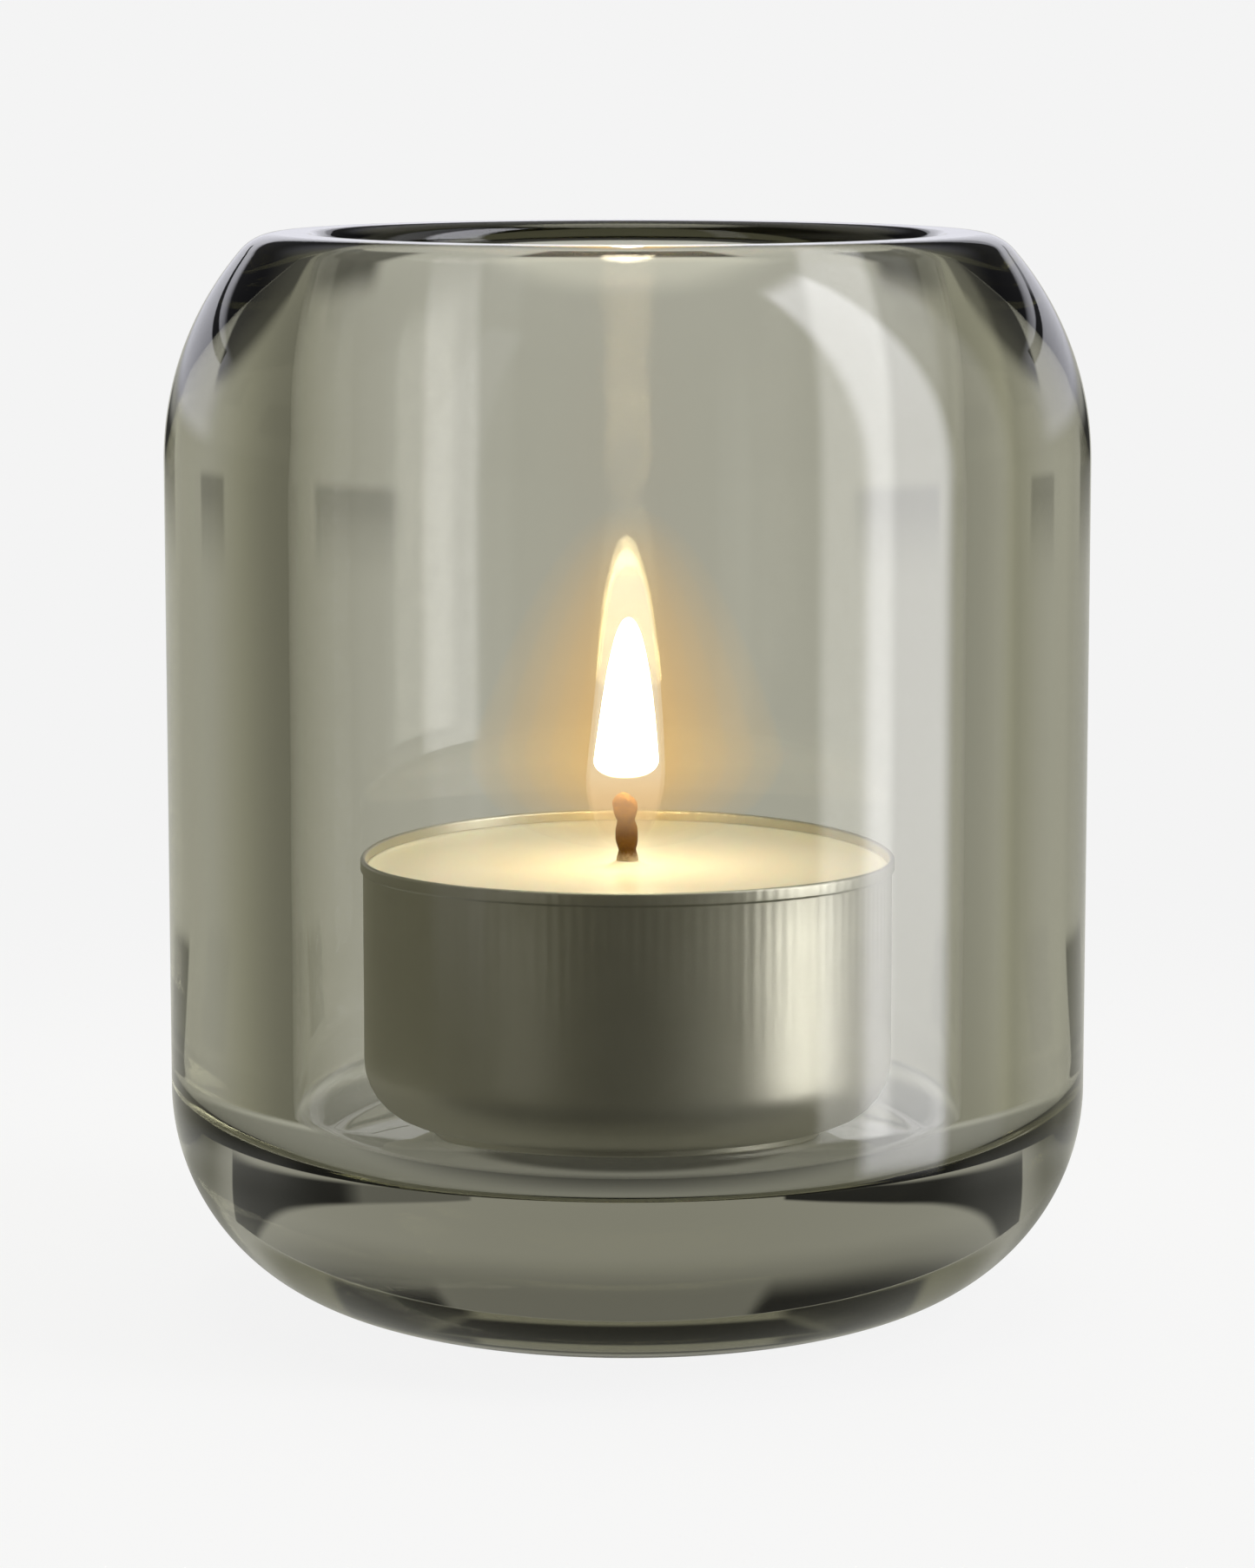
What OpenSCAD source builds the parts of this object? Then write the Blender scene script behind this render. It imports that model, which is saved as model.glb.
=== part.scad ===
// Tealight holder: a thick pressed-glass tumbler with a loose 38 mm tealight standing in it.
// Millimetres, +Z up. The origin is the centre of the glass's rest face.

/* [Glass] */
// Outer diameter of the glass
glass_d = 65; // [62:0.5:80]
// Height from the rest face to the rim
glass_h = 76; // [72:0.5:90]
// Radius of the round bottom corner
base_corner_r = 15.8; // [8:0.2:18]
// Radius of the shoulder that turns in to the rim
shoulder_r = 22.5; // [20:0.5:24]
// Height of the shoulder, from the end of the upright wall to the rim
shoulder_h = 15.9; // [12:0.1:16]
// Radius of the rim's polished outer edge
rim_edge_r = 3.5; // [1:0.5:3.5]

/* [Cavity] */
// Thickness of the upright wall
wall_t = 8.6; // [6:0.2:9]
// Thickness of the solid floor
floor_t = 12.7; // [8:0.1:14]
// Radius between the cavity's wall and its floor
cavity_corner_r = 3.6; // [2:0.2:8]
// Height over which the cavity narrows below the rim
mouth_h = 14; // [10:0.5:14]
// Radius of the cavity's narrowing arc
mouth_arc_r = 31; // [28:1:60]
// Radius of the mouth's polished inner edge
mouth_edge_r = 1.2; // [0.5:0.1:1.4]

/* [Tealight cup] */
// Diameter over the cup's rolled rim
cup_d = 38; // [36:0.5:38]
// Height of the cup
cup_h = 20; // [15:0.2:22]
// Thickness of the drawn sheet
cup_t = 0.25; // [0.2:0.05:0.4]
// Radius of the rolled rim's section
cup_bead_r = 0.4; // [0.35:0.05:0.5]
// Radius of the cup's round bottom edge
cup_corner_r = 4.4; // [2:0.2:4.6]
// Outer radius of the foot ring pressed into the bottom
cup_foot_r = 14; // [13.6:0.1:14.2]
// Height of the foot ring
cup_foot_h = 1.3; // [0.8:0.1:1.6]
// Radius of the panel inside the foot ring
cup_panel_r = 11.8; // [10:0.2:12]
// Height of the panel above the glass floor
cup_panel_h = 0.8; // [0.3:0.1:1]

/* [Wax and wick] */
// Depth of the wax's edge below the cup's rim
wax_drop = 0.9; // [0.8:0.1:4]
// Depth of the shallow dish that the melt leaves in the wax
melt_dip = 0.25; // [0.1:0.05:0.5]
// Diameter of the wick
wick_d = 1.6; // [1:0.1:2]
// Length of wick that stands out of the wax
wick_out = 5.2; // [3:0.1:8]
// Diameter of the sustainer's disc
sustainer_d = 13; // [8:0.5:16]
// Height of the sustainer's crimped neck, from the underside of the disc
sustainer_neck_h = 4; // [2:0.5:6]
// Thickness of the sustainer's sheet
sustainer_t = 0.3; // [0.2:0.05:0.4]

/* [Hidden] */
$fn = 128;
// Overlap of a cutting shape past the face that it cuts
past = 1;
// Air between the cup's foot ring and the glass floor
seat_gap = 0.05;

glass_r = glass_d / 2;
shoulder_z = glass_h - shoulder_h;
cavity_r = glass_r - wall_t;
mouth_z = glass_h - mouth_h;

// Centres of the shoulder arc and of the cavity's narrowing arc
shoulder_c = [glass_r - shoulder_r, shoulder_z];
mouth_c = [cavity_r - mouth_arc_r, mouth_z];
// The rim's outer edge touches the shoulder arc from inside, and the mouth's edge touches the narrowing
// arc from outside
rim_edge_c = touching(shoulder_c, shoulder_r - rim_edge_r, glass_h - rim_edge_r);
mouth_edge_c = touching(mouth_c, mouth_arc_r + mouth_edge_r, glass_h - mouth_edge_r);

cup_z = floor_t + seat_gap;
cup_bead_c = [cup_d / 2 - cup_bead_r, cup_h - cup_bead_r];
// The upright wall runs through the middle of the bead's outer half
cup_r = cup_bead_c[0] + cup_bead_r / 2;
cup_inner_r = cup_r - cup_t;
wax_z = cup_z + cup_h - wax_drop;
panel_z = cup_z + cup_panel_h + cup_t;
// Height of the round-bottomed wall, from the foot ring to the middle of the bead
cup_wall_h = cup_h - cup_bead_r - cup_foot_h;
// Sphere whose cap has the wax's radius and the melt's depth
melt_r = (pow(cup_inner_r, 2) + pow(melt_dip, 2)) / (2 * melt_dip);
wick_top_z = wax_z - melt_dip + wick_out;
sustainer_neck_r = wick_d / 2 + sustainer_t;

// Centre at height z of a circle that lies dist away from the centre c
function touching(c, dist, z) = [c[0] + sqrt(pow(dist, 2) - pow(z - c[1], 2)), z];

// Unit vector from a to b
function toward(a, b) = (b - a) / norm(b - a);

// Wedge at point c, between the directions from and to
module wedge(c, r, from, to) {
    polygon([c, c + 2 * r * from, c + 2 * r * (from + to), c + 2 * r * to]);
}

// Sector of a circle between two directions that are less than half a turn apart
module sector(c, r, from, to) {
    intersection() {
        translate(c) circle(r = r);
        wedge(c, r, from, to);
    }
}

// Outline of an upright cup-shaped solid whose bottom corner is round
module round_bottomed(r, h, corner) {
    translate([0, corner]) square([r, h - corner]);
    square([r - corner, corner]);
    sector([r - corner, corner], corner, [1, 0], [0, -1]);
}

// Space inside the glass, open past the rim
module cavity_outline() {
    translate([0, floor_t]) round_bottomed(cavity_r, mouth_z - floor_t, cavity_corner_r);
    intersection() {
        translate(mouth_c) circle(r = mouth_arc_r);
        translate([0, mouth_z]) square([glass_r, mouth_h + past]);
    }
}

// Glass without the soft edges of its rim
module sharp_glass_outline() {
    difference() {
        union() {
            round_bottomed(glass_r, shoulder_z, base_corner_r);
            intersection() {
                translate(shoulder_c) circle(r = shoulder_r);
                translate([0, shoulder_z]) square([glass_r + past, shoulder_h]);
            }
        }
        cavity_outline();
    }
}

module glass_outline() {
    up = [0, 1];
    outward = toward(shoulder_c, rim_edge_c);
    inward = toward(mouth_edge_c, mouth_c);
    difference() {
        sharp_glass_outline();
        wedge(rim_edge_c, rim_edge_r, up, outward);
        wedge(mouth_edge_c, mouth_edge_r, up, inward);
    }
    sector(rim_edge_c, rim_edge_r, up, outward);
    sector(mouth_edge_c, mouth_edge_r, up, inward);
}

module glass_holder() {
    color([0.47, 0.47, 0.40, 0.45])
        rotate_extrude() glass_outline();
}

// Space inside the cup, from the sheet to past the rim
module cup_inside_outline() {
    translate([0, cup_foot_h + cup_t]) round_bottomed(cup_inner_r, cup_h, cup_corner_r - cup_t);
    difference() {
        translate([0, cup_t]) square([cup_foot_r - cup_t, cup_foot_h]);
        square([cup_panel_r + cup_t, cup_panel_h + cup_t]);
    }
}

// Drawn sheet: a round-bottomed wall, a foot ring with a raised panel inside it, and a rolled rim
module tealight_cup() {
    color([0.78, 0.77, 0.74])
        translate([0, 0, cup_z])
            rotate_extrude() {
                difference() {
                    union() {
                        translate([0, cup_foot_h]) round_bottomed(cup_r, cup_wall_h, cup_corner_r);
                        square([cup_foot_r, cup_foot_h]);
                    }
                    cup_inside_outline();
                    translate([0, -past]) square([cup_panel_r, cup_panel_h + past]);
                }
                translate(cup_bead_c) circle(r = cup_bead_r);
            }
}

// Candle wax: it fills the cup, and is bored for the wick and hollowed for the sustainer
module wax() {
    color([0.96, 0.92, 0.82])
        difference() {
            translate([0, 0, cup_z])
                rotate_extrude()
                    intersection() {
                        cup_inside_outline();
                        square([cup_r, cup_h - wax_drop]);
                    }
            translate([0, 0, wax_z - melt_dip + melt_r]) sphere(r = melt_r, $fn = 360);
            translate([0, 0, panel_z - past]) cylinder(d = wick_d, h = cup_h);
            translate([0, 0, panel_z - past]) cylinder(d = sustainer_d, h = sustainer_t + past);
            translate([0, 0, panel_z - past]) cylinder(r = sustainer_neck_r, h = sustainer_neck_h + past);
        }
}

// Cotton wick: it stands on the cup's panel and ends in a round tip
module wick() {
    color([0.25, 0.18, 0.12]) {
        translate([0, 0, panel_z]) cylinder(d = wick_d, h = wick_top_z - wick_d / 2 - panel_z);
        translate([0, 0, wick_top_z - wick_d / 2]) sphere(d = wick_d);
    }
}

// Stamped tin disc with a neck that is crimped round the wick
module wick_sustainer() {
    color([0.66, 0.66, 0.66])
        translate([0, 0, panel_z])
            difference() {
                union() {
                    cylinder(d = sustainer_d, h = sustainer_t);
                    cylinder(r = sustainer_neck_r, h = sustainer_neck_h);
                }
                translate([0, 0, -past]) cylinder(d = wick_d, h = sustainer_neck_h + 2 * past);
            }
}

glass_holder();
tealight_cup();
wax();
wick();
wick_sustainer();
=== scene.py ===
import bpy
import numpy as np
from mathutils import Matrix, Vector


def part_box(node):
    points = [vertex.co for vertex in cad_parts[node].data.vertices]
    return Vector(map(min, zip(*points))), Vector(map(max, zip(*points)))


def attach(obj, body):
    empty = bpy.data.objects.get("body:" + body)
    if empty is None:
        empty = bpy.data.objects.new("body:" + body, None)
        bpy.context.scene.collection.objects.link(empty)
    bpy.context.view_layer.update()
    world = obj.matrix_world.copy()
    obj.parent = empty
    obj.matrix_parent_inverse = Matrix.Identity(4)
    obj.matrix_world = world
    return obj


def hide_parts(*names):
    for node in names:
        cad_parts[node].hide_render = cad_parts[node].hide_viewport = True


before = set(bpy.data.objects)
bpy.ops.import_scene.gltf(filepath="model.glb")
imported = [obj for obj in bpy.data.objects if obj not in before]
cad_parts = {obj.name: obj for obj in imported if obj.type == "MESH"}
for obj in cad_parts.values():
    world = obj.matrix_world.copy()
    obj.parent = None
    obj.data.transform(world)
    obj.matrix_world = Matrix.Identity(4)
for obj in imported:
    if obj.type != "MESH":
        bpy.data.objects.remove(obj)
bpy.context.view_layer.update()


# ---------------------------------------------------------------------------------------------
# Tumbler. One gob of smoky grey-olive soda glass, pressed in a mould and fire-polished. It has a
# thick upright wall, a solid floor, a shoulder that turns in to a flat rim, and a flat rest face.
# ---------------------------------------------------------------------------------------------

def arc(centre, radius, start, end, steps):
    """Points on a circle: centre + radius * (cos a, sin a), with a in degrees from start to end."""
    a = np.radians(np.linspace(start, end, steps + 1))
    return np.column_stack([centre[0] + radius * np.cos(a), centre[1] + radius * np.sin(a)])


def line(start, end, steps):
    """Points spread evenly on a straight line from start to end."""
    t = np.linspace(0, 1, steps + 1)[:, None]
    return (1 - t) * np.array(start) + t * np.array(end)


def chain(*runs):
    """Runs of points joined end to end, with a point that ends one run and starts the next kept once."""
    points = np.vstack(runs)
    step = np.linalg.norm(np.diff(points, axis=0), axis=1)
    return points[np.concatenate([[True], step > 1e-8])]


def grid_faces(rows, columns):
    """Four-sided faces of a grid whose columns close on themselves, wound so that row x column faces out."""
    i, j = np.meshgrid(np.arange(rows - 1), np.arange(columns), indexing="ij")
    here, beside = i * columns + j, i * columns + (j + 1) % columns
    return np.stack([here, beside, beside + columns, here + columns], axis=-1).reshape(-1, 4)


def cap_faces(first, columns, pole, outward_down):
    """Triangles from a ring of vertices to one vertex on the axis."""
    j = np.arange(columns)
    here, beside = first + j, first + (j + 1) % columns
    pole = np.full(columns, pole)
    return np.stack([beside, here, pole] if outward_down else [here, beside, pole], axis=-1)


def solid_of(name, rings, poles=None):
    """A closed smooth mesh from rings of points (rows, columns, 3), ordered from the bottom pole outward.

    With poles, the first and last rings are closed on the two points given. Without, the last ring joins
    the first, as on a hoop."""
    rows, columns = rings.shape[:2]
    if poles is None:
        rings = np.concatenate([rings, rings[:1]])
        faces = grid_faces(rows + 1, columns) % (rows * columns)
        points, faces = rings[:rows].reshape(-1, 3), faces.tolist()
    else:
        last = (rows - 1) * columns
        points = np.vstack([rings.reshape(-1, 3), poles])
        bottom = cap_faces(0, columns, len(points) - 2, True)
        top = cap_faces(last, columns, len(points) - 1, False)
        faces = grid_faces(rows, columns).tolist() + bottom.tolist() + top.tolist()
    mesh = bpy.data.meshes.new(name)
    mesh.from_pydata(points.tolist(), [], faces)
    mesh.shade_smooth()
    piece = bpy.data.objects.new(name, mesh)
    bpy.context.collection.objects.link(piece)
    return piece


def turned(outline, columns):
    """Rings of a turned surface: (r cos a, r sin a, z) for each outline point (r, z) and angle a."""
    a = np.arange(columns) * 2 * np.pi / columns
    r, z = outline[:, :1], outline[:, 1:]
    return np.stack([r * np.cos(a), r * np.sin(a), z + 0 * a], axis=-1)


def lathe(name, outline, columns):
    """A turned solid whose outline starts and ends on the axis."""
    ends = np.array([[0, 0, outline[0, 1]], [0, 0, outline[-1, 1]]])
    return solid_of(name, turned(outline[1:-1], columns), ends)


class Wire:
    """An output socket. +, -, *, / and ** on it add Math nodes, and + and - take a number first too."""

    def __init__(self, finish, socket):
        self.finish = finish
        self.socket = socket

    def math(self, operation, *values):
        settings = {"operation": operation}
        return self.finish.node("ShaderNodeMath", settings, dict(enumerate(values)))

    def __add__(self, other):
        return self.math("ADD", self, other)

    def __radd__(self, other):
        return self.math("ADD", other, self)

    def __sub__(self, other):
        return self.math("SUBTRACT", self, other)

    def __rsub__(self, other):
        return self.math("SUBTRACT", other, self)

    def __mul__(self, other):
        return self.math("MULTIPLY", self, other)

    def __truediv__(self, other):
        return self.math("DIVIDE", self, other)

    def __pow__(self, other):
        return self.math("POWER", self, other)


class Finish:
    """A node tree being built. Its node method adds any node and gives back one of its outputs."""

    def __init__(self, owner):
        owner.use_nodes = True
        self.owner = owner
        self.tree = owner.node_tree

    def node(self, kind, settings=None, sockets=None, out=0):
        """Adds a node: settings first, then the values or wires of its sockets."""
        made = self.tree.nodes.new(kind)
        for key, value in (settings or {}).items():
            setattr(made, key, value)
        self.set(made, sockets or {})
        return Wire(self, made.outputs[out])

    def set(self, made, sockets):
        """Sets or links a node's sockets, each given by name or by number."""
        for key, value in sockets.items():
            if isinstance(value, Wire):
                self.tree.links.new(value.socket, made.inputs[key])
            else:
                made.inputs[key].default_value = value

    def mixed(self, factor, low, high):
        """The colour low where factor is 0 and high where it is 1."""
        return self.node("ShaderNodeMix", {"data_type": "RGBA"}, {0: factor, 6: low, 7: high}, out=2)

    def stepped(self, value, low, high):
        """A smooth step: 0 where value is below low, 1 where it is above high."""
        sockets = {"Value": value, "From Min": low, "From Max": high}
        return self.node("ShaderNodeMapRange", {"interpolation_type": "SMOOTHSTEP"}, sockets)

    def noise(self, place, scale, detail=2.0):
        """Smooth noise from 0 to 1 at a place, in features of about 1 / scale metres."""
        return self.node("ShaderNodeTexNoise", None, {"Vector": place, "Scale": scale, "Detail": detail})

    def place(self):
        """Object coordinates, in metres."""
        return self.node("ShaderNodeTexCoord", out=3)

    def split(self, vector):
        """The x, y and z of a vector."""
        first = self.node("ShaderNodeSeparateXYZ", None, {0: vector})
        return [Wire(self, output) for output in first.socket.node.outputs]

    def absorbing(self, absorption):
        """A volume that dims red, green and blue light by exp(-absorption * depth), depth in metres."""
        density = 100.0
        colour = [1 - each / density for each in absorption] + [1.0]
        sockets = {"Color": colour, "Density": density}
        return self.node("ShaderNodeVolumeAbsorption", None, sockets)

    def bump(self, height, distance, strength):
        """A normal tilted as if the surface were raised by height * distance."""
        sockets = {"Height": height, "Distance": distance, "Strength": strength}
        return self.node("ShaderNodeBump", None, sockets)

    @property
    def shader(self):
        return self.tree.nodes["Principled BSDF"]

    @property
    def output(self):
        return self.tree.nodes["Material Output"]


def finish_named(name):
    """The node tree of a new material."""
    return Finish(bpy.data.materials.new(name))


def smoky_glass():
    """Clear glass that darkens and turns olive with depth, with a faint wave in its polished skin."""
    look = finish_named("smoky_glass")
    place = look.place()
    wave = look.noise(place, 60.0)
    smear = look.noise(place, 25.0, 3.0)
    look.set(look.shader, {
        "Base Color": (1.0, 1.0, 1.0, 1.0),
        "Roughness": smear * 0.02,
        "IOR": 1.5,
        "Transmission Weight": 1.0,
        "Normal": look.bump(wave, 0.00006, 0.3),
    })
    look.set(look.output, {"Volume": look.absorbing(glass_absorption)})
    return look.owner


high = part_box("glass_holder")[1]
glass_r = high.x
glass_h = high.z
base_corner_r = 0.0158
shoulder_r = 0.0225
shoulder_h = 0.0159
rim_edge_r = 0.0035
wall = 0.0086
floor = 0.0127
cavity_corner_r = 0.0036
mouth_h = 0.014
mouth_arc_r = 0.031
mouth_edge_r = 0.0012
glass_columns = 256
# Red, green and blue, per metre
glass_absorption = (24.0, 24.3, 30.0)


def tumbler_outline():
    """The glass's section: rest face, corner arc, wall, shoulder arc, rim edge arc, rim, mouth edge arc,
    narrowing arc, cavity wall, floor corner arc, floor. Each arc meets its neighbours without a kink."""
    shoulder = np.array([glass_r - shoulder_r, glass_h - shoulder_h])
    rise = shoulder_h - rim_edge_r
    reach = shoulder_r - rim_edge_r
    turn = np.degrees(np.arcsin(rise / reach))
    rim = shoulder + [np.sqrt(reach**2 - rise**2), rise]
    cavity_r = glass_r - wall
    narrow = np.array([cavity_r - mouth_arc_r, glass_h - mouth_h])
    lift = mouth_h - mouth_edge_r
    span = mouth_arc_r + mouth_edge_r
    lean = np.degrees(np.arcsin(lift / span))
    mouth = narrow + [np.sqrt(span**2 - lift**2), lift]
    base = [glass_r - base_corner_r, base_corner_r]
    inner = [cavity_r - cavity_corner_r, floor + cavity_corner_r]
    return chain(
        line([0, 0], [base[0], 0], 14),
        arc(base, base_corner_r, -90, 0, 50),
        line([glass_r, base_corner_r], [glass_r, shoulder[1]], 40),
        arc(shoulder, shoulder_r, 0, turn, 34),
        arc(rim, rim_edge_r, turn, 90, 16),
        line([rim[0], glass_h], [mouth[0], glass_h], 6),
        arc(mouth, mouth_edge_r, 90, 180 + lean, 14),
        arc(narrow, mouth_arc_r, lean, 0, 24),
        line([cavity_r, narrow[1]], [cavity_r, inner[1]], 40),
        arc(inner, cavity_corner_r, 0, -90, 24),
        line([inner[0], floor], [0, floor], 14),
    )


tumbler = lathe("tumbler", tumbler_outline(), glass_columns)
tumbler.data.materials.append(smoky_glass())
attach(tumbler, "holder")
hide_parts("glass_holder")


# ---------------------------------------------------------------------------------------------
# Tealight cup. Soft aluminium foil drawn over a punch: the draw leaves fine upright pleats that are
# deepest under the rim. The rim is folded out in a narrow hem, and the bottom has a pressed foot ring.
# ---------------------------------------------------------------------------------------------

def filleted(corners, radii, steps=6):
    """A bent line whose corners are rounded: each becomes an arc of its radius that touches both its sides.

    The arc is swung evenly from its first point to its last, so it has steps + 1 points."""
    corners = [np.array(corner, float) for corner in corners]
    run = [corners[0]]
    for before, corner, after, radius in zip(corners, corners[1:], corners[2:], radii):
        back = (before - corner) / np.linalg.norm(before - corner)
        on = (after - corner) / np.linalg.norm(after - corner)
        half = np.arccos(np.clip(back @ on, -1, 1)) / 2
        middle = corner + (back + on) / np.linalg.norm(back + on) * radius / np.sin(half)
        first = corner + back * radius / np.tan(half) - middle
        last = corner + on * radius / np.tan(half) - middle
        share = np.linspace(0, 1, steps + 1)[:, None]
        sweep = np.pi - 2 * half
        swung = np.sin((1 - share) * sweep) * first + np.sin(share * sweep) * last
        run.extend(middle + swung / np.sin(sweep))
    run.append(corners[-1])
    return np.array(run)


def spread(outline, gap):
    """The same line with points added, so that no two neighbours lie further apart than about gap."""
    along = np.concatenate([[0], np.cumsum(np.linalg.norm(np.diff(outline, axis=0), axis=1))])
    even = np.linspace(0, along[-1], int(along[-1] / gap) + 1)
    clear = np.abs(even[:, None] - along).min(axis=1) > gap / 3
    places = np.sort(np.concatenate([along, even[clear]]))
    return np.column_stack([np.interp(places, along, column) for column in outline.T])


def drawn_aluminium():
    """Bare satin aluminium with upright draw lines, a little uneven in tone and gloss."""
    look = finish_named("cup_aluminium")
    place = look.place()
    x, y, z = look.split(place)
    angle = x.math("ARCTAN2", y, x)
    streak_place = look.node("ShaderNodeCombineXYZ", None, {0: angle, 1: z * 6.0, 2: 0.0})
    streaks = look.noise(streak_place, 60.0, 3.0)
    grain = look.noise(place, 9000.0, 1.0)
    cloud = look.noise(place, 180.0, 3.0)
    tone = look.mixed(cloud, (0.57, 0.555, 0.47, 1.0), (0.65, 0.635, 0.545, 1.0))
    look.set(look.shader, {
        "Base Color": tone,
        "Metallic": 1.0,
        "Roughness": 0.36 + streaks * 0.10 + cloud * 0.06,
        "Normal": look.bump(streaks + grain * 0.3, 0.00001, 0.4),
    })
    return look.owner


low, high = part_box("tealight_cup")
cup_z = low.z
cup_r = high.x
cup_h = high.z - low.z
sheet = 0.0002
hem_out = 0.00018
hem_h = 0.0009
pleats = 150
points_per_pleat = 4
pleat_depth = 0.00002
# Shares of the cup's height: where the pleats start, and how far above that they are fully deep
pleat_start = 0.15
pleat_run = 0.75
cup_corner_r = 0.0044
foot_r = 0.0140
foot_h = 0.0013
panel_r = 0.0118
panel_h = 0.0008
cup_wall_r = cup_r - hem_out
bowl_r = cup_wall_r - sheet


def cup_outline():
    """The sheet's section: under the panel, round the foot ring, up the wall, over the hem, back inside."""
    return filleted(
        [
            (0, panel_h), (panel_r, panel_h), (panel_r, 0), (foot_r, 0), (foot_r, foot_h),
            (cup_wall_r, foot_h), (cup_wall_r, cup_h - hem_h), (cup_r, cup_h - hem_h), (cup_r, cup_h),
            (bowl_r, cup_h), (bowl_r, foot_h + sheet),
            (foot_r - sheet, foot_h + sheet), (foot_r - sheet, sheet),
            (panel_r + sheet, sheet), (panel_r + sheet, panel_h + sheet), (0, panel_h + sheet),
        ],
        [
            0.0002, 0.0002, 0.0004, 0.0002,
            cup_corner_r, 0.0001, 0.00012, 0.00020,
            0.00020, cup_corner_r - sheet, 0.0002, 0.0002,
            0.0002, 0.0002,
        ],
        steps=8,
    )


def pleated(rings):
    """Rings pressed in by depth * wander * (1 - cos(pleats * a)) / 2, where depth is pleat_depth at the rim.

    depth falls to 0 towards the foot and inward over the bottom, and wander makes some pleats deeper."""
    a = np.arctan2(rings[..., 1], rings[..., 0])
    radius = np.hypot(rings[..., 0], rings[..., 1])
    up = rings[..., 2] / cup_h
    wall_only = np.clip((radius - foot_r) / (bowl_r - foot_r), 0, 1) ** 4
    depth = pleat_depth * np.clip((up - pleat_start) / pleat_run, 0, 1) ** 2 * wall_only
    wander = 1 + 0.5 * np.sin(7 * a + 1.3) * np.sin(3 * a)
    press = depth * wander * (1 - np.cos(pleats * a)) / 2
    outward = np.concatenate([rings[..., :2], 0 * rings[..., 2:]], axis=-1) / radius[..., None]
    return rings - outward * press[..., None]


cup_row_gap = 0.0016
cup_line = spread(cup_outline(), cup_row_gap)
cup_rings = pleated(turned(cup_line[1:-1], pleats * points_per_pleat)) + [0, 0, cup_z]
cup_ends = np.array([[0, 0, cup_z + panel_h], [0, 0, cup_z + panel_h + sheet]])
cup = solid_of("cup", cup_rings, cup_ends)
cup.data.materials.append(drawn_aluminium())
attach(cup, "tealight")
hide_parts("tealight_cup")


# ---------------------------------------------------------------------------------------------
# Wax. Cream paraffin poured into the cup. Its skin climbs a little at the cup's wall and at the wick,
# and the heat has left a shallow wet dish round the wick.
# ---------------------------------------------------------------------------------------------

def cream_wax():
    """Milky wax that light soaks into, wet and smooth in the dish and satin at its edge."""
    look = finish_named("candle_wax")
    place = look.place()
    x, y = look.split(place)[:2]
    from_wick = (x * x + y * y) ** 0.5
    cloud = look.noise(place, 350.0, 4.0)
    dry = look.stepped(from_wick + cloud * 0.006, 0.006, 0.021)
    fleck = look.noise(place, 2200.0, 2.0)
    wet_tone = look.mixed(cloud, (0.95, 0.85, 0.67, 1.0), (0.97, 0.88, 0.72, 1.0))
    dry_tone = look.mixed(cloud, (0.95, 0.87, 0.70, 1.0), (0.97, 0.90, 0.75, 1.0))
    look.set(look.shader, {
        "Base Color": look.mixed(dry, wet_tone, dry_tone),
        "Roughness": 0.26 + dry * 0.12 + fleck * 0.06,
        "IOR": 1.44,
        "Subsurface Weight": 0.35,
        "Subsurface Scale": 0.002,
        "Normal": look.bump(cloud * 0.6 + fleck * dry * 0.4, 0.00002, 0.5),
    })
    look.shader.inputs["Subsurface Radius"].default_value = (1.0, 0.6, 0.35)
    return look.owner


wax_edge_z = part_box("wax")[1].z
low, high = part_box("wick")
wick_r = high.x
wick_top_z = high.z
panel_z = low.z
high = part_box("wick_sustainer")[1]
sustainer_r = high.x
neck_top_z = high.z
neck_r = wick_r + 0.0003
tin = 0.0003
melt_dip = 0.00025
skin_drop = 0.0001
wall_climb = 0.00028
wall_reach = 0.0005
wick_climb = 0.0005
wick_reach = 0.0006
wax_columns = 192
wax_row_gap = 0.0009
# The gap between the wax and the metal or the wick
skin = 0.00001


def wax_skin(r):
    """Height of the wax at radius r: skin_drop under the wax's top, less a dish, plus two climbing edges.

    The dish is melt_dip * (1 - (r / bowl_r)**2). Each edge is climb * exp(-d / reach), where d is the
    distance from the cup's wall or from the wick."""
    dish = -melt_dip * (1 - (r / bowl_r) ** 2)
    at_wall = wall_climb * np.exp((r - bowl_r) / wall_reach)
    at_wick = wick_climb * np.exp((wick_r - r) / wick_reach)
    return wax_edge_z - skin_drop + dish + at_wall + at_wick


def wax_outline():
    """Round the sustainer's hollow and the cup's inside, then back over the skin to the wick."""
    inside = bowl_r - skin
    near_wall = inside - 0.002
    near_wick = 0.004
    r = np.concatenate([
        np.linspace(inside, near_wall, 14),
        np.linspace(near_wall, near_wick, 30)[1:],
        np.linspace(near_wick, wick_r + skin, 22)[1:],
    ])
    bottom = filleted(
        [
            (wick_r + skin, neck_top_z + skin), (neck_r + skin, neck_top_z + skin),
            (neck_r + skin, panel_z + tin + skin), (sustainer_r + skin, panel_z + tin + skin),
            (sustainer_r + skin, panel_z + skin), (panel_r + sheet, panel_z + skin),
            (panel_r + sheet + 0.0001, cup_z + sheet + skin), (foot_r - sheet - skin, cup_z + sheet + skin),
            (foot_r - sheet - skin, cup_z + foot_h + sheet + skin), (inside, cup_z + foot_h + sheet + skin),
            (inside, wax_skin(inside)),
        ],
        [0.00005, 0.00005, 0.00005, 0.00005, 0.0001, 0.0001, 0.0001, 0.0001, cup_corner_r - sheet],
    )
    return chain(bottom, np.column_stack([r, wax_skin(r)]))


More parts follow.
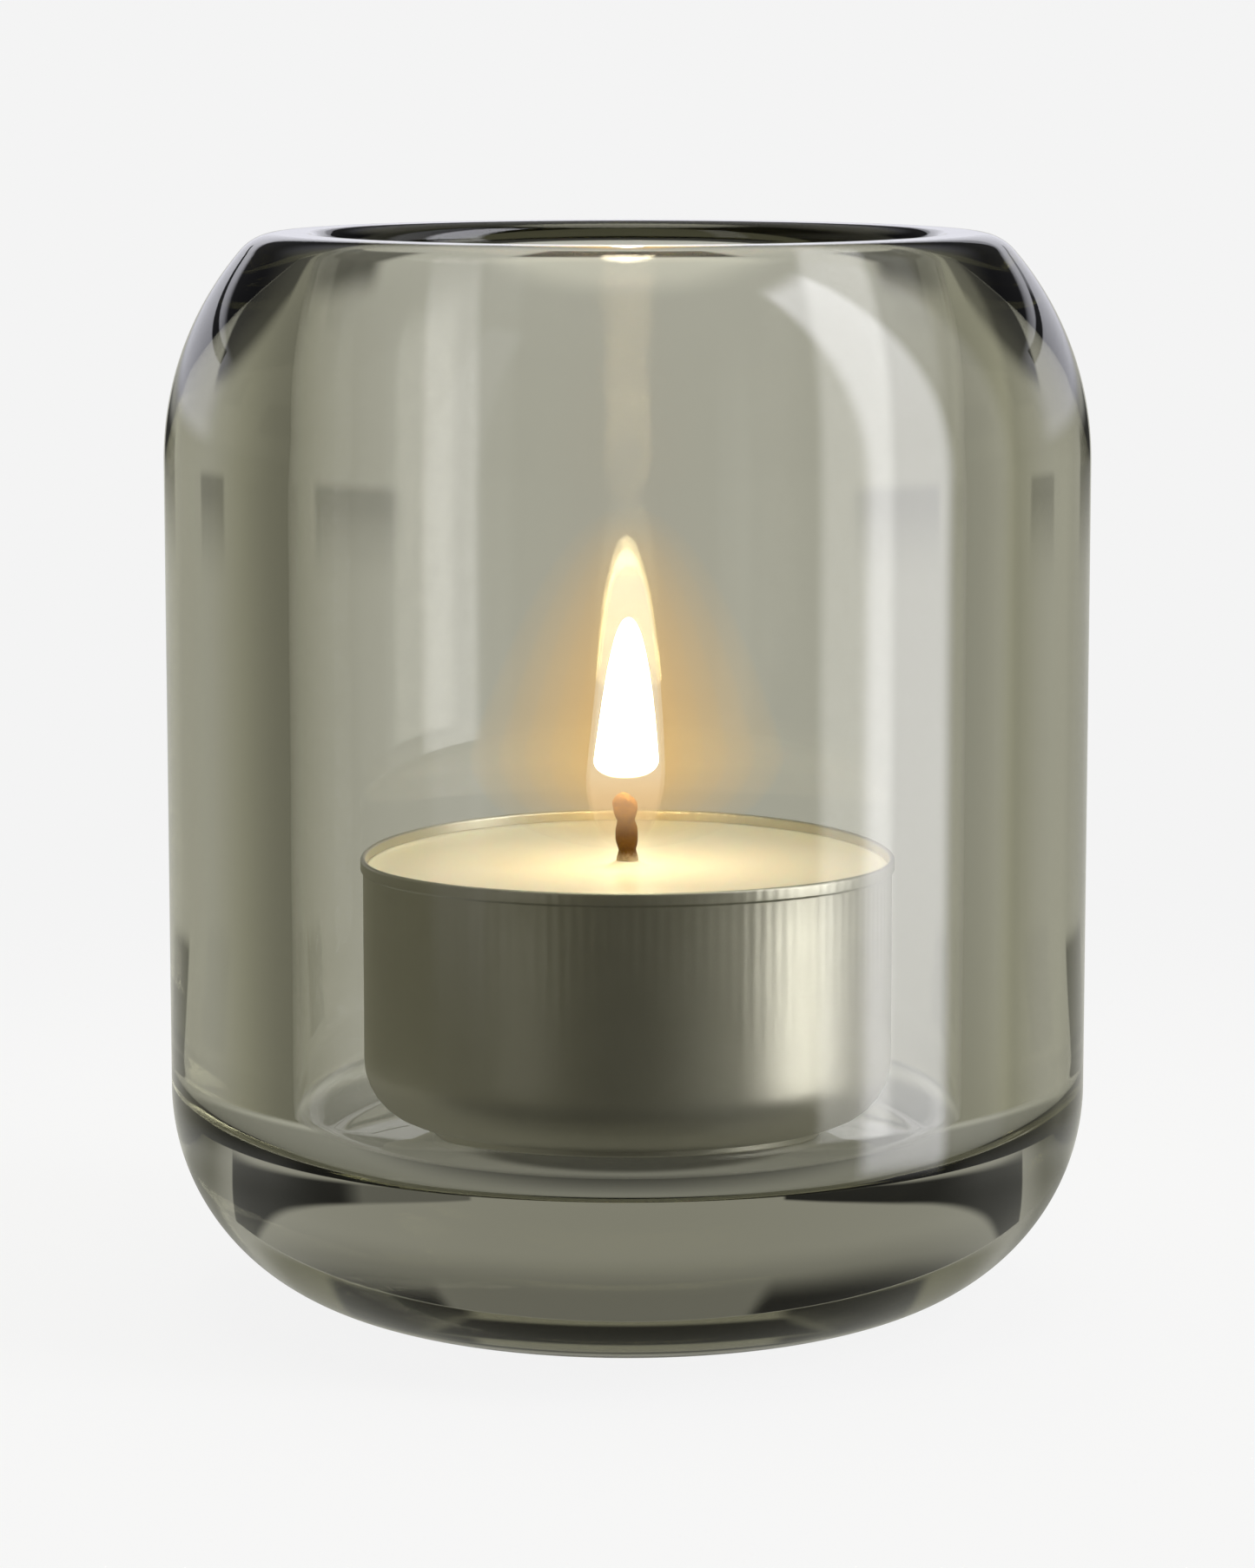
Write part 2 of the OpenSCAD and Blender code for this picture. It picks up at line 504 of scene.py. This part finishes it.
wax = solid_of("wax_body", turned(spread(wax_outline(), wax_row_gap), wax_columns))
wax.data.materials.append(cream_wax())
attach(wax, "tealight")
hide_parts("wax")


# ---------------------------------------------------------------------------------------------
# Wick sustainer. A stamped tin disc, sunk in the wax, with a neck that is crimped on the wick.
# ---------------------------------------------------------------------------------------------

def tin_plate():
    """Dull bright tin with fine rolling lines along X."""
    look = finish_named("sustainer_tin")
    place = look.place()
    x, y, z = look.split(place)
    rolled_place = look.node("ShaderNodeCombineXYZ", None, {0: x * 0.04, 1: y, 2: z})
    rolled = look.noise(rolled_place, 12000.0, 3.0)
    look.set(look.shader, {
        "Base Color": look.mixed(rolled, (0.52, 0.52, 0.51, 1.0), (0.68, 0.68, 0.67, 1.0)),
        "Metallic": 1.0,
        "Roughness": 0.28 + rolled * 0.15,
        "Normal": look.bump(rolled, 0.00001, 0.5),
    })
    return look.owner


crimp = 0.08
crimp_h = 0.0009
sustainer_row_gap = 0.0003
sustainer_columns = 96


def crimped(rings):
    """Three dents squeeze the neck: r shrinks by crimp * at_neck * max(cos(3 a), 0)**2.

    at_neck is exp(-(d / crimp_h)**2) on the neck's outside, d being the height from mid-neck."""
    a = np.arctan2(rings[..., 1], rings[..., 0])
    radius = np.hypot(rings[..., 0], rings[..., 1])
    middle = (panel_z + neck_top_z) / 2
    outside = (radius < neck_r * 1.1) * (radius > wick_r * 1.05)
    at_neck = np.exp(-(((rings[..., 2] - middle) / crimp_h) ** 2)) * outside
    shrink = 1 - crimp * at_neck * np.clip(np.cos(3 * a), 0, 1) ** 2
    return rings * np.stack([shrink, shrink, 0 * shrink + 1], axis=-1)


sustainer_line = filleted(
    [
        (wick_r, panel_z + 0.001), (wick_r, panel_z), (sustainer_r, panel_z), (sustainer_r, panel_z + tin),
        (neck_r, panel_z + tin), (neck_r, neck_top_z), (wick_r, neck_top_z), (wick_r, panel_z + 0.002),
    ],
    [0.0001, 0.00012, 0.00012, 0.0004, 0.0001, 0.0001],
)
sustainer_rings = turned(spread(sustainer_line, sustainer_row_gap), sustainer_columns)
sustainer = solid_of("sustainer", crimped(sustainer_rings))
sustainer.data.materials.append(tin_plate())
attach(sustainer, "tealight")
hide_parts("wick_sustainer")


# ---------------------------------------------------------------------------------------------
# Wick. Braided cotton, soaked with wax, charred dark brown above it, with a small glowing head. It
# leans a little to -X.
# ---------------------------------------------------------------------------------------------

def braided_cotton():
    """Wax-soaked cotton: cream under the wax, charred dark brown above it, and an ember at the head."""
    look = finish_named("cotton_wick")
    place = look.place()
    z = look.split(place)[2]
    fibre = look.noise(place, 5200.0, 4.0)
    height = z + fibre * 0.0006
    burnt = look.stepped(height, wax_edge_z + 0.0002, wax_edge_z + 0.0012)
    ember = look.stepped(height, wick_top_z - 0.0016, wick_top_z - 0.0002)
    raw = look.mixed(fibre, (0.62, 0.50, 0.32, 1.0), (0.75, 0.66, 0.50, 1.0))
    char = look.mixed(fibre, (0.05, 0.020, 0.001, 1.0), (0.16, 0.070, 0.003, 1.0))
    glow = look.mixed(fibre, (0.50, 0.10, 0.002, 1.0), (1.0, 0.30, 0.01, 1.0))
    look.set(look.shader, {
        "Base Color": look.mixed(burnt, raw, char),
        "Roughness": 0.55 + fibre * 0.35,
        "Specular IOR Level": 0.1,
        "Emission Color": look.mixed(ember, (0.0, 0.0, 0.0, 1.0), glow),
        "Emission Strength": 0.32,
        "Normal": look.bump(fibre, 0.00008, 0.7),
    })
    return look.owner


plait_pitch = 0.0021
head_h = 0.0008
wick_lean = -0.0003


def leaning(z, foot_z, top_z, reach):
    """Sideways lean: reach * t * t, with t from 0 at foot_z to 1 at top_z."""
    return reach * np.clip((z - foot_z) / (top_z - foot_z), 0, 1) ** 2


def wick_rings(rows, columns):
    """A plait: r = wick_r * (0.86 + 0.14 * strands) * swell * dome, kept inside its hole in the wax.

    strands is the higher of two crossing helices, cos(2 a + turn) and cos(2 a - turn + 1), swell thickens
    and roughens the part above the wax, and dome rounds the head."""
    heights = np.linspace(panel_z, wick_top_z, rows)
    z, a = np.meshgrid(heights, np.arange(columns) * 2 * np.pi / columns, indexing="ij")
    turn = 2 * np.pi * z / plait_pitch
    strands = np.maximum(np.cos(2 * a + turn), np.cos(2 * a - turn + 1.0))
    to_top = (wick_top_z - z) / head_h
    clear = np.clip((z - wax_edge_z) / 0.001, 0, 1)
    rough = 0.06 * np.sin(5 * a + 900 * z) + 0.05 * np.sin(3 * a - 4000 * z)
    swell = 1 + clear * (0.10 * np.exp(-(((to_top - 1) / 1.2) ** 2)) + rough * np.exp(-to_top / 3))
    dome = np.sqrt(1 - np.clip(1 - to_top, 0, 1) ** 2 * 0.94)
    widest = wick_r * np.where(z < wax_edge_z, 0.995, 1.2)
    r = np.minimum(wick_r * (0.86 + 0.14 * strands) * swell * dome, widest)
    lean = leaning(z, wax_edge_z, wick_top_z, wick_lean)
    return np.stack([lean + r * np.cos(a), r * np.sin(a), z], axis=-1)


braid_rings = wick_rings(rows=240, columns=48)
braid_ends = np.array([braid_rings[0].mean(axis=0), braid_rings[-1].mean(axis=0)])
wick = solid_of("wick_braid", braid_rings, braid_ends)
wick.data.materials.append(braided_cotton())
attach(wick, "tealight")
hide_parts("wick")


# ---------------------------------------------------------------------------------------------
# Flame. Not a solid: a white core in a pale veil of hot gas, with a painted amber glow round both for its
# halo, and a dim zone at the wick. All are closed teardrops. Core and veil shine from their skins, the
# painted glow all through.
# ---------------------------------------------------------------------------------------------

drift_reach = 0.0003
drift_start = -0.0002
drift_height = 0.005


def flame_drift(z):
    """Sideways place of the flame: drift_start + drift_reach * (1 - exp(-d / drift_height)).

    d is the height above the wick, and 0 below its top."""
    above_wick = np.clip(z - wick_top_z, 0, 1)
    return drift_reach * (1 - np.exp(-above_wick / drift_height)) + drift_start


def teardrop(name, bottom_z, wide_z, top_z, radius, point, rows=48, columns=48):
    """r = radius * (1 - t)**point above the widest ring, where t runs from 0 there to 1 at the top.

    Below that ring it is a half ellipse. The middle of each ring follows the drift."""
    drop = wide_z - bottom_z
    below = wide_z - drop * np.cos(np.linspace(0.02, np.pi / 2, rows // 3))
    above = wide_z + (top_z - wide_z) * np.sin(np.linspace(0, np.pi / 2 - 0.02, rows)[1:])
    z = np.concatenate([below, above])
    t = np.clip((z - wide_z) / (top_z - wide_z), 0, 1)
    under = np.sqrt(1 - np.clip((wide_z - z) / drop, 0, 1) ** 2)
    r = radius * (1 - t) ** point * under
    a = np.arange(columns) * 2 * np.pi / columns
    x = flame_drift(z)[:, None] + r[:, None] * np.cos(a)
    y = r[:, None] * np.sin(a)
    rings = np.stack([x, y, z[:, None] + 0 * a], axis=-1)
    ends = np.array([[flame_drift(bottom_z), 0, bottom_z], [flame_drift(top_z), 0, top_z]])
    return solid_of(name, rings, ends)


def flame_light(name, colour, strength, alpha, fade_in, fade_out):
    """Shining gas: its alpha rises between the heights fade_in and falls between the heights fade_out.

    Near the wick its colour is a little more orange."""
    look = finish_named(name)
    z = look.split(look.place())[2]
    shown = look.stepped(z, *fade_in) * (1 - look.stepped(z, *fade_out))
    risen = look.stepped(z, wick_top_z - 0.001, wick_top_z + 0.003)
    red, green, blue = colour
    low_colour = (red, green * 0.80, blue * 0.60, 1.0)
    look.set(look.shader, {
        "Base Color": (0.0, 0.0, 0.0, 1.0),
        "Specular IOR Level": 0.0,
        "Roughness": 1.0,
        "Emission Color": look.mixed(risen, low_colour, (*colour, 1.0)),
        "Emission Strength": strength,
        "Alpha": shown * alpha,
    })
    return look.owner


def painted_halo_glow(name, amber, gain, absorption):
    """Painted glow for the flame's halo: air that glows amber, by gain in each metre, and dims and warms
    what lies behind it.
    """
    look = finish_named(name)
    look.set(look.shader, {"Base Color": (*amber, 1.0), "Roughness": 1.0, "Alpha": 0.0})
    glow = look.node("ShaderNodeEmission", None, {"Color": (*amber, 1.0), "Strength": gain})
    both = look.node("ShaderNodeAddShader", None, {0: glow, 1: look.absorbing(absorption)})
    look.set(look.output, {"Volume": both})
    return look.owner


# Core: three shells, the inner ones denser, so that the white fades at its edge
core_foot_z = wick_top_z + 0.0010
core_wide_z = wick_top_z + 0.0023
core_top_z = wick_top_z + 0.0124
core_r = 0.0023
core_point = 0.45
core_colour = (1.0, 0.90, 0.74)
core_strength = 44.0
core_fade_in = (wick_top_z + 0.0011, core_wide_z)
# Heights far above the flame, so that the core doesn't fade at its tip
never = (1.0, 2.0)
for number, (share, alpha) in enumerate([(1.0, 0.45), (0.92, 0.6), (0.83, 1.0)], 1):
    name = f"flame_core_{number}"
    top_z = core_wide_z + (core_top_z - core_wide_z) * (0.9 + 0.1 * share)
    core = teardrop(name, core_foot_z, core_wide_z, top_z, core_r * share, core_point)
    core.data.materials.append(flame_light(name, core_colour, core_strength, alpha, core_fade_in, never))
    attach(core, "tealight")

# Veil: two thin shells that reach down round the wick
veil_foot_z = wick_top_z - 0.0040
veil_wide_z = wick_top_z + 0.0013
veil_top_z = wick_top_z + 0.0162
veil_r = 0.0028
veil_point = 0.36
veil_colour = (1.0, 0.95, 0.87)
veil_strength = 0.98
veil_fade_in = (wick_top_z - 0.0036, wick_top_z + 0.0008)
veil_fade_out = (veil_top_z - 0.002, veil_top_z + 0.0008)
for number, (share, alpha) in enumerate([(1.0, 0.25), (0.9, 0.30)], 1):
    name = f"flame_veil_{number}"
    top_z = veil_wide_z + (veil_top_z - veil_wide_z) * (0.8 + 0.2 * share)
    veil = teardrop(name, veil_foot_z, veil_wide_z, top_z, veil_r * share, veil_point)
    light = flame_light(name, veil_colour, veil_strength, alpha, veil_fade_in, veil_fade_out)
    veil.data.materials.append(light)
    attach(veil, "tealight")

# Painted glow for the halo: five nested drops of shining amber air, so that it fades outward
amber = (1.0, 0.41, 0.06)
amber_gain = 6.0
amber_absorption = (0.0, 1.2, 7.0)
glow_wide_z = wick_top_z + 0.003
glow_point = 0.5
for number, reach in enumerate([0.0040, 0.0056, 0.0073, 0.0092, 0.0112], 1):
    name = f"flame_painted_halo_{number}"
    foot_z = wick_top_z - 0.001 - reach * 0.25
    top_z = veil_top_z + reach * 0.35
    glow = teardrop(name, foot_z, glow_wide_z, top_z, reach, glow_point)
    glow.data.materials.append(painted_halo_glow(name, amber, amber_gain, amber_absorption))
    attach(glow, "tealight")


# ---------------------------------------------------------------------------------------------
# Studio. The camera sees a pale floor disc that melts into a pale surround. The glass and the metal
# see a room by direction: a table, a bright backdrop sheet, a dim room behind the camera, a tall
# window on the right, a narrow strip on the left and a bright patch straight overhead.
# ---------------------------------------------------------------------------------------------

pale = 0.905
paper_glow = 0.875
floor_r = 0.20
floor_z = -0.00003
floor_sides = 96


def pale_floor():
    """Matt paper with an even glow of its own, so that only a faint shadow shows.

    Seen through the glass or mirrored in it, the floor near the tumbler carries painted shade: it is dim,
    most of all where the two touch and in front of it, with a patch of painted shade far behind. Past that,
    the room shows."""
    look = finish_named("pale_floor")
    x, y = look.split(look.place())[:2]
    out = (x * x + y * y) ** 0.5
    paper = look.node("ShaderNodeBsdfDiffuse", None, {"Color": (0.06, 0.06, 0.06, 1.0)})
    lit = look.node("ShaderNodeEmission", None, {"Color": (1.0, 1.0, 1.0, 1.0), "Strength": paper_glow})
    both = look.node("ShaderNodeAddShader", None, {0: paper, 1: lit})
    clean = look.node("ShaderNodeEmission", None, {"Color": (1.0, 1.0, 1.0, 1.0), "Strength": pale})
    far = look.stepped(out, 0.05, floor_r * 0.95)
    direct = look.node("ShaderNodeMixShader", None, {0: far, 1: both, 2: clean})
    # Painted shade, seen only by rays that are not the camera's: the tumbler's shadow on the floor, darkest
    # where the two touch and in front of it, and a patch of painted shade straight behind it
    straight_back = look.stepped(y / out, 0.981, 0.988)
    behind = straight_back * look.stepped(out, 0.088, 0.096) * (1 - look.stepped(out, 0.146, 0.165))
    painted_shade = 0.10 + look.stepped(out, 0.0095, 0.0125) * 0.26 + look.stepped(out, 0.046, 0.060) * 0.24
    painted_shade = painted_shade * (1 - behind * 0.92) * (1 - look.stepped(0 - y, 0.012, 0.028) * 0.75)
    dim = look.node("ShaderNodeEmission", None, {"Color": (1.0, 1.0, 0.90, 1.0), "Strength": painted_shade})
    gone = look.node("ShaderNodeBsdfTransparent")
    past = look.stepped(out, 0.060, 0.085) * (1 - behind)
    through = look.node("ShaderNodeMixShader", None, {0: past, 1: dim, 2: gone})
    seen = look.node("ShaderNodeLightPath")
    surface = look.node("ShaderNodeMixShader", None, {0: seen, 1: through, 2: direct})
    look.set(look.output, {"Surface": surface})
    return look.owner


a = np.arange(floor_sides) * 2 * np.pi / floor_sides
edge = np.column_stack([floor_r * np.cos(a), floor_r * np.sin(a), 0 * a + floor_z])
disc = bpy.data.meshes.new("floor")
disc.from_pydata(edge.tolist(), [], [list(range(floor_sides))])
disc.materials.append(pale_floor())
ground = bpy.data.objects.new("floor", disc)
bpy.context.collection.objects.link(ground)


def soft_box(across, up, across_span, up_span, soft):
    """1 inside a box of directions, in degrees, and 0 outside, with edges soft degrees wide."""
    sky = across.finish
    inside = 1.0
    for angle, (start, end) in ((across, across_span), (up, up_span)):
        rise = sky.stepped(angle, start - soft / 2, start + soft / 2)
        fall = sky.stepped(angle, end - soft / 2, end + soft / 2)
        inside = rise * (1 - fall) * inside
    return inside


world = bpy.data.worlds.new("studio")
bpy.context.scene.world = world
sky = Finish(world)
x, y, z = sky.split(sky.node("ShaderNodeTexCoord"))
# Azimuth runs from the camera's side towards +X, so the backdrop lies at 180 degrees. side is its
# size without its sign, and left goes smoothly from 0 on the right to 1 on the left
azimuth = x.math("ARCTAN2", x, 0 - y) * (180 / np.pi)
side = azimuth.math("ABSOLUTE", azimuth)
elevation = x.math("ARCSINE", z) * (180 / np.pi)
left = sky.stepped(0 - azimuth, -60.0, 60.0)

# Table: lighter towards the backdrop and darkest under the camera, with dark things standing on it
# at both sides of the backdrop, low and just under the horizon, and one light patch on the right
table = 0.22 + sky.stepped(side, 115.0, 172.0) * 0.39 - (1 - sky.stepped(side, 8.0, 30.0)) * 0.14
corners = soft_box(side, elevation, (128.0, 163.0), (-27.0, -15.5), 3.0)
low_corners = soft_box(side, elevation, (150.0, 166.8), (-5.0, -1.4), 2.4)
table_patch = soft_box(azimuth, elevation, (106.0, 140.0), (-60.0, 0.0), 8.0)
table = table * (1 - low_corners * 0.9)
table = table * (1 - corners * 0.85) + table_patch * 0.12

# Backdrop sheet: dimmer above 13 degrees and dark above about 15, or 18 at its middle
sheet_light = 0.99 - sky.stepped(elevation, 13.0, 15.0) * 0.42
at_middle = sky.stepped(side - left * 5.0, 162.0, 168.0)
sheet_top = elevation + left * 0.35 - at_middle * 3.0
sheet_light = sheet_light * (1 - sky.stepped(sheet_top, 14.5, 15.8) * 0.92)

# A dark ledge across each half of the sheet, about 10 degrees up. It rises and thickens away from
# the middle, and is fainter on the left
to_side = 163.0 - side
ledge_height = (elevation - 10.0 - to_side * 0.10) / (0.50 + to_side * 0.020)
ledge = soft_box(side, ledge_height, (130.0, 167.0), (-1.0, 1.0), 0.5)
fainter = left * 0.4 + 0.6
ledge = ledge * fainter.math("MAXIMUM", fainter, 1 - sky.stepped(side, 152.0, 160.0))
sheet_light = sheet_light * (1 - ledge * 0.95)

# Above the horizon, the sheet behind and the dim room behind the camera, and then the ceiling
at_sheet = sky.stepped(side, 120.0, 132.0)
front = 0.09 + sky.stepped(side, 40.0, 100.0) * 0.23
above = front + (sheet_light - front) * at_sheet
risen = sky.stepped(elevation, -0.6, 3.0)
room = table + (above - table) * risen
ceiling = sky.stepped(elevation, 22.0, 40.0)
ceiling_light = 0.06 + sky.stepped(side, 90.0, 130.0) * 0.5
overhead = sky.stepped(elevation, 64.0, 76.0)
room = room * (1 - ceiling) + ceiling * ceiling_light + overhead * 3.0

# Lamps: the window, a dimmer band beside it, and the strip
window = soft_box(azimuth, elevation, (60.0, 85.0), (-40.0, 60.0), 6.0)
window = window * sky.stepped(elevation, -26.0, -8.0)
beside = soft_box(azimuth, elevation, (86.0, 106.0), (-12.0, 60.0), 8.0)
strip = soft_box(azimuth, elevation, (-48.0, -35.0), (-10.0, 50.0), 5.0)
lamps = window * 5.7 + beside * 0.8 + strip * 0.6
level = room + lamps

# The lamps and the sheet are white, and the rest is a warm grey
white_light = lamps + sheet_light * risen * at_sheet + table * sky.stepped(side, 135.0, 165.0) * 0.4
whiteness = white_light / level
whiteness = whiteness.math("MINIMUM", whiteness, 1.0)
tint = sky.mixed(whiteness, (1.0, 0.985, 0.77, 1.0), (1.0, 1.0, 1.08, 1.0))

seen = sky.node("ShaderNodeLightPath")
room_light = sky.node("ShaderNodeBackground", None, {"Color": tint, "Strength": level})
surround = sky.node("ShaderNodeBackground", None, {"Color": (pale, pale, pale, 1.0), "Strength": 1.0})
both = sky.node("ShaderNodeMixShader", None, {0: seen, 1: room_light, 2: surround})
sky.tree.links.new(both.socket, sky.tree.nodes["World Output"].inputs["Surface"])


# ---------------------------------------------------------------------------------------------
# Camera. It stands in front of the tumbler, a little above it, and looks slightly down. The bounce
# counts are high enough for light to cross both glass walls and all the flame's shells.
# ---------------------------------------------------------------------------------------------

lens_mm = 117.6
camera_back = 0.360
camera_z = 0.0895
camera_down_deg = 8.3

camera_data = bpy.data.cameras.new("camera")
camera = bpy.data.objects.new("camera", camera_data)
bpy.context.collection.objects.link(camera)
camera_data.sensor_width = 36.0
camera_data.lens = lens_mm
camera_data.clip_start = 0.01
camera.location = (0, -camera_back, camera_z)
camera.rotation_euler = (np.radians(90 - camera_down_deg), 0, 0)
scene = bpy.context.scene
scene.camera = camera
scene.view_settings.view_transform = "Standard"
scene.cycles.use_denoising = True
scene.cycles.max_bounces = 24
scene.cycles.transmission_bounces = 24
scene.cycles.transparent_max_bounces = 64
scene.cycles.glossy_bounces = 8
scene.cycles.diffuse_bounces = 4
